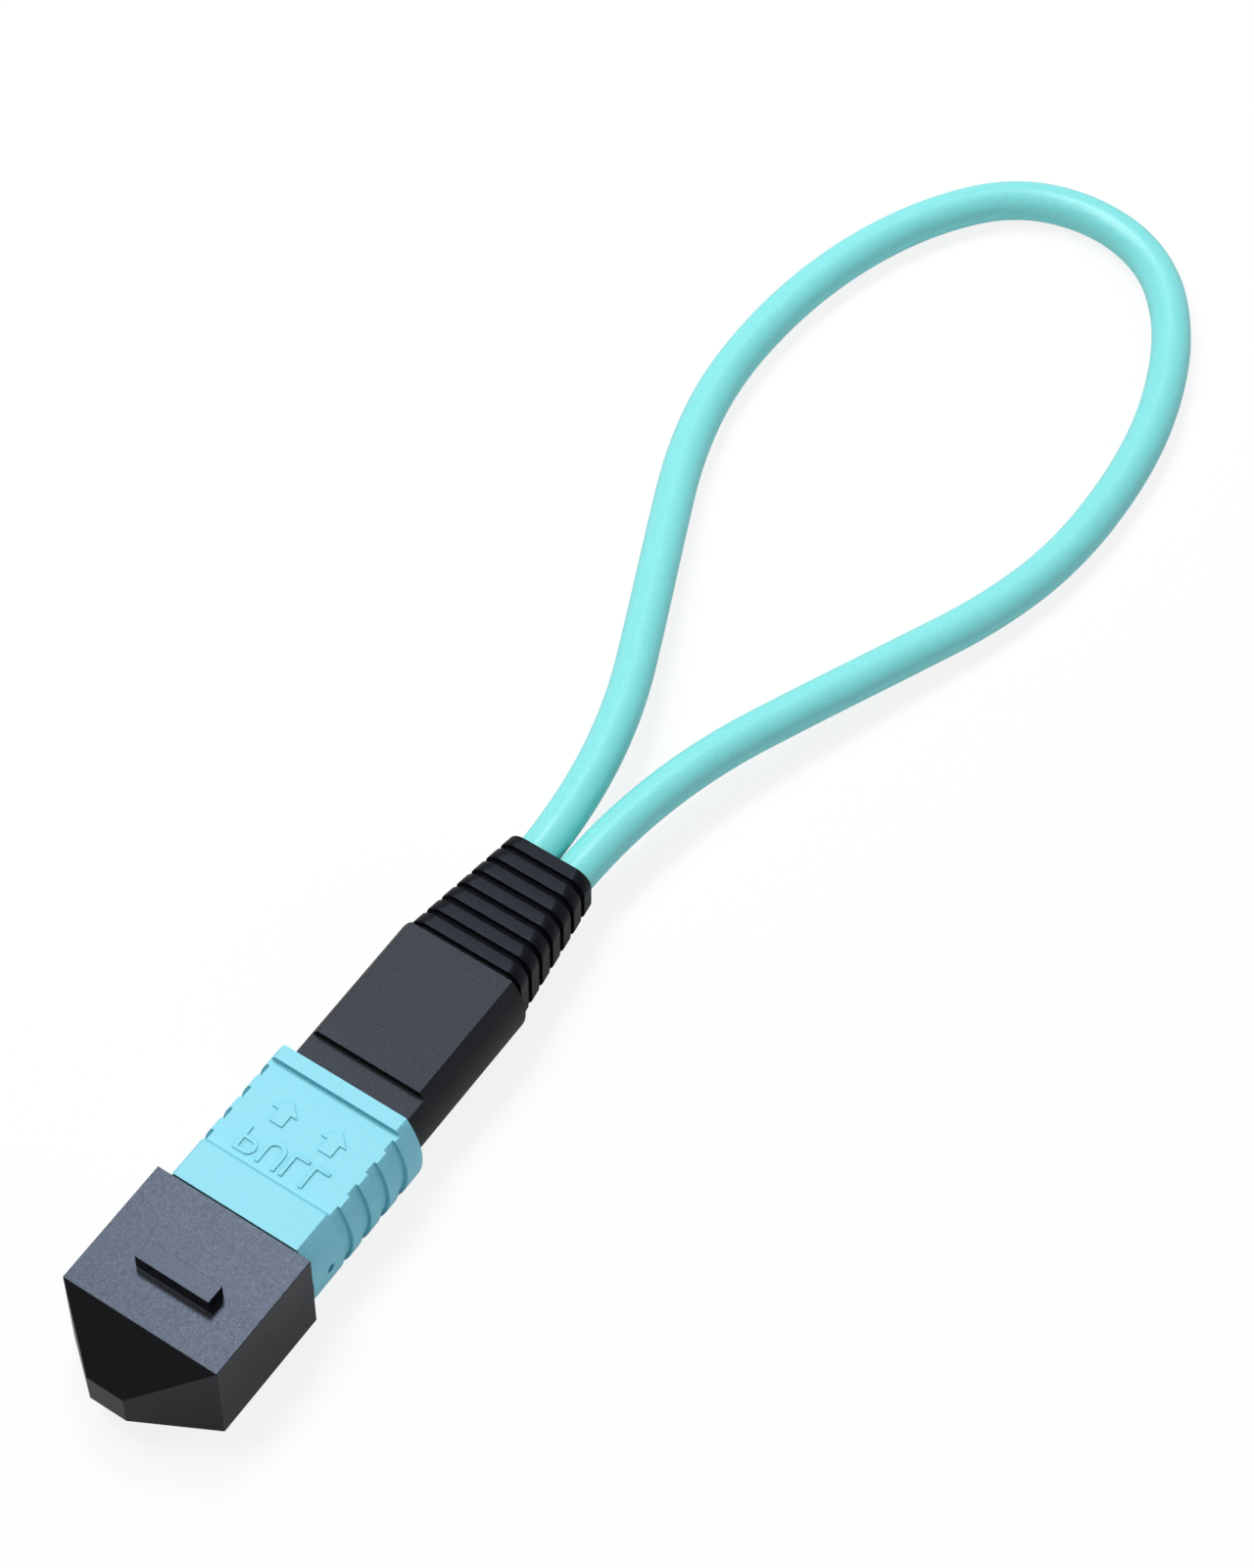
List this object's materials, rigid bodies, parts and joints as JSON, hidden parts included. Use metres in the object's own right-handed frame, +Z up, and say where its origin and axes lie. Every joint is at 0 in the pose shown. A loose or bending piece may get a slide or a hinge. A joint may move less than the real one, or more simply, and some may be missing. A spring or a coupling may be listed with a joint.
{
  "type": "mpo fibre connector",
  "caption": "Push-pull ribbon-fibre plug with a dust cap, a sprung pull-back coupler, a ribbed strain-relief boot and a round cable looped back into the same plug.",
  "frame": {"origin": "on the surface the plug lies on, midway along the plug without its cable, on its centre line", "axes": "+X along the plug towards the dust cap's nose, +Y across it, +Z up through the raised arrows on the coupler"},
  "size_m": [0.1267, 0.0334, 0.0092],
  "materials": {
    "cap_black": "fine matte, moulded",
    "coupler_aqua": "fine matte, moulded",
    "housing_aqua": "satin, moulded",
    "body_black": "satin, moulded",
    "boot_black": "smooth, soft",
    "cable_aqua": "smooth jacket",
    "ferrule_resin": "polished end face",
    "fibre_glass": "clear",
    "ribbon_coat": "clear coat",
    "sleeve_rubber": "soft matte",
    "keeper_plastic": "satin",
    "spring_steel": "drawn wire",
    "crimp_metal": "turned, crimped",
    "yarn": "spun yarn"
  },
  "bodies": {
    "housing": {"inner_housing": "housing_aqua", "spring_push": "body_black", "ferrule_spring": "spring_steel", "coupler_spring_left": "spring_steel", "coupler_spring_right": "spring_steel", "fibre_ribbon_left": "ribbon_coat", "fibre_ribbon_right": "ribbon_coat", "strength_yarn_left": "yarn", "strength_yarn_right": "yarn", "crimp_ring": "crimp_metal", "rear_body": "body_black", "boot": "boot_black", "loop_cable": "cable_aqua"},
    "cap": {"dust_cap": "cap_black"},
    "coupler": {"coupler": "coupler_aqua"},
    "ferrule": {"mt_ferrule": "ferrule_resin", "bare_fibres": "fibre_glass", "ferrule_sleeve": "sleeve_rubber", "pin_keeper": "keeper_plastic"}
  },
  "joints": [
    {"name": "cap_slide", "type": "slide", "parent": "housing", "child": "cap", "axis": [1, 0, 0], "range_m": [0, 0.03]},
    {"name": "coupler_slide", "type": "slide", "parent": "housing", "child": "coupler", "axis": [-1, 0, 0], "range_m": [0, 0.0022], "stiffness_N_per_m": 500, "springref_m": -0.002, "deforming": ["coupler_spring_left", "coupler_spring_right"]},
    {"name": "ferrule_slide", "type": "slide", "parent": "housing", "child": "ferrule", "axis": [-1, 0, 0], "range_m": [0, 0.0006], "stiffness_N_per_m": 1500, "springref_m": -0.005, "deforming": ["ferrule_spring", "fibre_ribbon_left", "fibre_ribbon_right"]}
  ]
}
